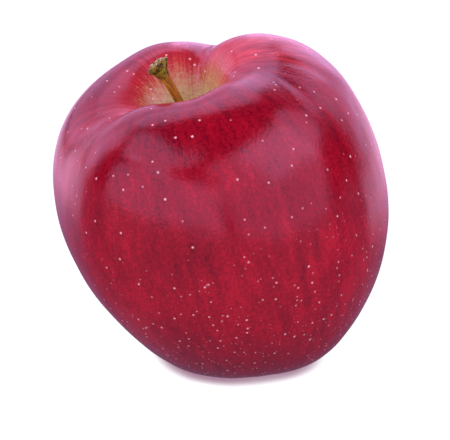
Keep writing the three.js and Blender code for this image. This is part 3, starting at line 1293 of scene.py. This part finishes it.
@dataclass
class DriedFlower:
    """The sepals, stamens and styles that stay in the basin under the fruit."""

    sepal_count: int = 5
    sepal_ring: float = 3.9
    sepal_drop: float = 1.4
    sepal_length: float = 5.6
    sepal_width: float = 3.2
    sepal_thickness: float = 0.28
    sepal_turn: float = 36.0
    sepal_curl: float = 1.7
    sepal_curls: Pair = (0.8, 1.15)
    sepal_twists: Pair = (-0.5, 0.5)
    sepal_cup: Pair = (0.45, 0.25)
    crumple: Ripple = Ripple(0.22, 1.0, 2.2)
    crumple_pace: Triple = (1.6, 5.0, 3.0)
    sepal_grain: Pair = (0.0015, 0.01)
    whorls: tuple[Whorl, ...] = (
        Whorl(10, 1.5, 0.25, 3.6, 0.0, 3.0),
        Whorl(10, 2.4, 0.65, 3.0, 18.0, 6.0),
    )
    stamen_sways: tuple[Pair, Pair] = ((-0.35, 0.5), (-0.4, 0.4))
    stamen_lengths: Pair = (0.85, 1.1)
    stamen_heads: Pair = (0.12, 0.24)
    thread_radius: float = 0.16
    thread_taper: Pair = (1.25, 0.5)
    thread_tip: float = 0.15
    thread_steps: int = 9
    thread_segments: int = 7
    head_place: float = 0.9
    head_width: float = 0.09
    kink: Ripple = Ripple(0.18, 1.0, 1.0)
    kink_pace: Pair = (9.0, 3.0)
    style_count: int = 5
    style_length: float = 4.4
    style_lengths: Pair = (0.85, 1.0)
    style_splay: float = 0.55
    style_head: float = 0.14
    style_ring: float = 0.16
    style_drop: float = 0.3
    styles_middle: float = 2.55
    style_foot: tuple[Pair, ...] = (
        (0.0, 0.25), (0.75, 0.2), (0.55, -0.6), (0.35, -1.5), (0.0, -1.9),
    )
    style_foot_segments: int = 14
    seed: int = 7

    def floor_frame(self, fruit: Fruit) -> Matrix:
        """Gives the frame of the basin's floor, with -Z hanging down out of it.

        Args:
            fruit: The fruit that the flower hangs under.

        Returns:
            The matrix from the flower's frame to millimetres in the row's frame.
        """
        low, high = (Vector(corner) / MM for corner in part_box("styles"))
        turn = fruit.tipping().to_matrix().to_4x4()
        hang = turn @ Vector((0, 0, -self.styles_middle))
        return Matrix.Translation((low + high) / 2 - hang) @ turn

    def sepal(self, number: int, floor: Matrix, chance: random.Random) -> bpy.types.Object:
        """Builds one withered sepal.

        Args:
            number: Which one, from 0.
            floor: The basin floor's frame.
            chance: The flower's random source.

        Returns:
            The finished piece.
        """
        bm = bmesh.new()
        bmesh.ops.create_grid(bm, x_segments=10, y_segments=16, size=0.5)
        grain = bm.verts.layers.float_vector.new(Zone.GRAIN.value)
        twist = chance.uniform(*self.sepal_twists)
        curl = self.sepal_curl * chance.uniform(*self.sepal_curls)
        (across, apart), (side_pace, pace, shift) = self.sepal_grain, self.crumple_pace
        for vertex in bm.verts:
            side, along = vertex.co.x * 2.0, 0.5 - vertex.co.y
            vertex[grain] = Vector((side * across, number * apart, along * self.sepal_length * MM))
            half = 0.5 * self.sepal_width * leaf_width(along)
            cup = self.sepal_cup[0] * (1 - side * side) - self.sepal_cup[1] * along
            crumple = self.crumple.at(Vector((side * side_pace, along * pace, number * shift)))
            out = curl * along * along - cup + crumple
            vertex.co = Vector((out, side * half + twist * along, -along * self.sepal_length))
        bmesh.ops.solidify(bm, geom=bm.faces[:], thickness=self.sepal_thickness)
        bmesh.ops.recalc_face_normals(bm, faces=bm.faces)
        azimuth = math.radians(self.sepal_turn + number * 360 / self.sepal_count)
        turn = Matrix.Rotation(azimuth, 4, "Z")
        base = Matrix.Translation((self.sepal_ring, 0, -self.sepal_drop))
        bmesh.ops.transform(bm, matrix=floor @ turn @ base, verts=bm.verts)
        piece = finished(bm, f"dry_sepal_{number + 1}")
        smooth = piece.modifiers.new("rounding", "SUBSURF")
        smooth.levels = smooth.render_levels = 1
        return piece

    def thread(self, length: float, bend: Vector, head: float) -> bmesh.types.BMesh:
        """Builds one dry thread with a small head, hanging along -Z.

        Args:
            length: Its length in millimetres.
            bend: How far its end is blown sideways.
            head: The head's radius.

        Returns:
            The mesh in millimetres.
        """
        thick, taper = self.thread_taper
        outline = [(0.0, 0.0)]
        for step in range(self.thread_steps + 1):
            share = step / self.thread_steps
            swell = head * math.exp(-((share - self.head_place) / self.head_width) ** 2)
            outline.append((self.thread_radius * (thick - taper * share) + swell, -share * length))
        outline.append((0.0, -length - self.thread_tip))
        bm = turned(outline, self.thread_segments)
        grain = bm.verts.layers.float_vector.new(Zone.GRAIN.value)
        side_pace, pace = self.kink_pace
        for vertex in bm.verts:
            share = -vertex.co.z / length
            vertex[grain] = vertex.co * MM
            sway = bend * share * share
            swerve = Vector((bend.x * side_pace, bend.y * side_pace, share * pace))
            kink = self.kink.at(swerve) * share
            vertex.co += Vector((sway.x + kink, sway.y - kink, 0.0))
        return bm

    def stamen(self, number: int, spot: Matrix, length: float,
               chance: random.Random) -> bpy.types.Object:
        """Builds one stamen.

        Args:
            number: Its number, from 1.
            spot: The frame of the place that it hangs from.
            length: Its length in millimetres.
            chance: The flower's random source.

        Returns:
            The finished piece.
        """
        sideways, onwards = (chance.uniform(*sway) for sway in self.stamen_sways)
        long = length * chance.uniform(*self.stamen_lengths)
        head = chance.uniform(*self.stamen_heads)
        bm = self.thread(long, Vector((sideways, onwards, 0.0)), head)
        bmesh.ops.transform(bm, matrix=spot, verts=bm.verts)
        return finished(bm, f"dry_stamen_{number}")

    def styles(self, floor: Matrix, chance: random.Random) -> bpy.types.Object:
        """Builds the five styles, which are grown together at the base.

        Args:
            floor: The basin floor's frame.
            chance: The flower's random source.

        Returns:
            The finished piece.
        """
        parts = []
        for number in range(self.style_count):
            lean = outward(math.tau * number / self.style_count)
            length = self.style_length * chance.uniform(*self.style_lengths)
            bm = self.thread(length, lean * self.style_splay, self.style_head)
            bmesh.ops.translate(bm, vec=lean * self.style_ring, verts=bm.verts)
            parts.append(bm)
        foot = turned(self.style_foot, self.style_foot_segments)
        foot.verts.layers.float_vector.new(Zone.GRAIN.value)
        whole = bmesh.new()
        for bm in (*parts, foot):
            mesh = bpy.data.meshes.new("style_part")
            bm.to_mesh(mesh)
            bm.free()
            whole.from_mesh(mesh)
            bpy.data.meshes.remove(mesh)
        bmesh.ops.translate(whole, vec=(0, 0, -self.style_drop), verts=whole.verts)
        bmesh.ops.transform(whole, matrix=floor, verts=whole.verts)
        return finished(whole, "dry_styles")

    def make(self, fruit: Fruit) -> None:
        """Builds, dresses and seats every piece of the flower.

        Args:
            fruit: The fruit that it hangs under.
        """
        chance = random.Random(self.seed)
        floor = self.floor_frame(fruit)
        leaf = DryLeafFinish().make()
        threads = DryLeafFinish(
            name="dry_stamen", shade=(0.020, 0.012, 0.007, 1.0), body=(0.085, 0.048, 0.024, 1.0),
            dusty=(0.200, 0.140, 0.085, 1.0), down=0.15,
        ).make()
        for number in range(self.sepal_count):
            piece = self.sepal(number, floor, chance)
            piece.data.materials.append(leaf)
            seat(piece, f"sepal_{number + 1}")
        number = 0
        for whorl in self.whorls:
            lean = Matrix.Rotation(math.radians(-whorl.splay), 4, "Y")
            for place in range(whorl.count):
                number += 1
                azimuth = math.radians(whorl.turn + place * 360 / whorl.count)
                start = Matrix.Translation((whorl.ring, 0, -whorl.drop)) @ lean
                spot = floor @ Matrix.Rotation(azimuth, 4, "Z") @ start
                piece = self.stamen(number, spot, whorl.length, chance)
                piece.data.materials.append(threads)
                seat(piece, f"stamen_{number}")
        piece = self.styles(floor, chance)
        piece.data.materials.append(threads)
        seat(piece, "styles")


def leaf_width(along: float) -> float:
    """Gives the width of a lance-shaped leaf as a share of its widest.

    Args:
        along: How far from the base, 0 to 1.

    Returns:
        The share, small at the tip.
    """
    return (0.62 + 0.9 * along) * (1.0 - along) ** 0.6 * 0.98 + 0.04


# ---- The studio -----------------------------------------------------------------------


@dataclass(frozen=True)
class Lamp:
    """A flat soft light that faces the apple.

    Azimuth is in degrees from straight in front, to the right, and elevation is above the
    floor. Width and height are metres, and radiance is how bright its face is.
    """

    name: str
    azimuth: float
    elevation: float
    width: float
    height: float
    radiance: float
    distance: float = 0.8
    colour: Triple = (1.7, 1.0, 1.9)

    def hang(self, target: Vector) -> None:
        """Hangs the lamp.

        Args:
            target: The point that it faces, in metres.
        """
        turn, rise = math.radians(self.azimuth), math.radians(self.elevation)
        level = math.cos(rise)
        direction = Vector((math.sin(turn) * level, -math.cos(turn) * level, math.sin(rise)))
        light = bpy.data.lights.new(self.name, "AREA")
        light.shape = "RECTANGLE"
        light.size, light.size_y = self.width, self.height
        light.energy = self.radiance * math.pi * self.width * self.height
        light.color = self.colour
        lamp = bpy.data.objects.new(self.name, light)
        lamp.location = target + direction * self.distance
        lamp.rotation_euler = direction.to_track_quat("Z", "Y").to_euler()
        lamp.visible_camera = False
        bpy.context.scene.collection.objects.link(lamp)
        log.info("%s hung", self.name)


@dataclass
class Studio:
    """White board, soft lights and the camera."""

    lamps: tuple[Lamp, ...] = (
        Lamp("left_softbox", -60.0, 54.0, 0.85, 0.50, 1.10),
        Lamp("left_bulb", -71.0, 41.0, 0.10, 0.10, 1.30),
        Lamp("left_panel", -36.0, 10.0, 1.80, 0.80, 0.95),
        Lamp("right_softbox", 83.0, 43.0, 0.95, 0.50, 0.90),
        Lamp("right_bulb", 93.0, 24.0, 0.10, 0.10, 1.10),
        Lamp("right_panel", 56.0, 28.0, 1.20, 1.00, 0.70),
        Lamp("back_left", -122.0, 22.0, 0.35, 0.95, 0.45),
        Lamp("back_wall", -163.0, 23.0, 1.60, 0.60, 0.65),
        Lamp("back_top", -165.0, 53.0, 0.60, 0.35, 1.15),
        Lamp("back_right", 156.0, 14.0, 0.80, 0.75, 0.70),
    )
    floor_size: float = 6.0
    sky: Colour = (0.012, 0.008, 0.012, 1.0)
    backdrop: Colour = (1.0, 1.0, 1.0, 1.0)
    aim: Triple = (0.9, -0.2, 33.9)
    elevation: float = 23.4
    distance: float = 538.0
    lens: float = 178.0
    sensor: float = 36.0
    clip: Pair = (0.01, 50.0)

    def camera(self) -> None:
        """Sets up the camera in front of the apple, looking down at it."""
        rise = math.radians(self.elevation)
        back = Vector((0.0, -math.cos(rise), math.sin(rise)))
        data = bpy.data.cameras.new("camera")
        data.lens, data.sensor_width = self.lens, self.sensor
        data.clip_start, data.clip_end = self.clip
        view = bpy.data.objects.new("camera", data)
        view.location = (Vector(self.aim) + back * self.distance) * MM
        view.rotation_euler = (math.radians(90.0 - self.elevation), 0.0, 0.0)
        bpy.context.scene.collection.objects.link(view)
        bpy.context.scene.camera = view

    def floor(self) -> None:
        """Lays the white board that the apple stands on."""
        bm = bmesh.new()
        bmesh.ops.create_grid(bm, x_segments=2, y_segments=2, size=self.floor_size / 2)
        mesh = bpy.data.meshes.new("floor")
        bm.to_mesh(mesh)
        bm.free()
        board = bpy.data.objects.new("floor", mesh)
        bpy.context.scene.collection.objects.link(board)
        board.data.materials.append(FloorFinish().make())

    def world(self) -> None:
        """Makes the studio white to look at and dim as a light."""
        world = bpy.data.worlds.new("studio")
        bpy.context.scene.world = world
        world.use_nodes = True
        world.node_tree.nodes.clear()
        bench = Bench(world.node_tree)
        seen = bench.node("LightPath").outputs["Is Camera Ray"]
        colour = bench.blend(seen, self.sky, self.backdrop)
        glow = bench.node("Background", {"Color": colour, "Strength": 1.0})
        bench.node("OutputWorld", {"Surface": glow.outputs[0]})

    def build(self) -> None:
        """Builds the studio."""
        scene = bpy.context.scene
        scene.view_settings.view_transform = "Standard"
        scene.view_settings.look = "None"
        self.camera()
        self.floor()
        self.world()
        for lamp in self.lamps:
            lamp.hang(Vector(self.aim) * MM)


def main() -> None:
    """Builds the studio and the apple."""
    logging.basicConfig(level=logging.INFO, format="%(name)s: %(message)s")
    Studio().build()
    fruit = Fruit()
    fruit.make()
    Stem().make()
    DriedFlower().make(fruit)


if __name__ == "__main__":
    main()
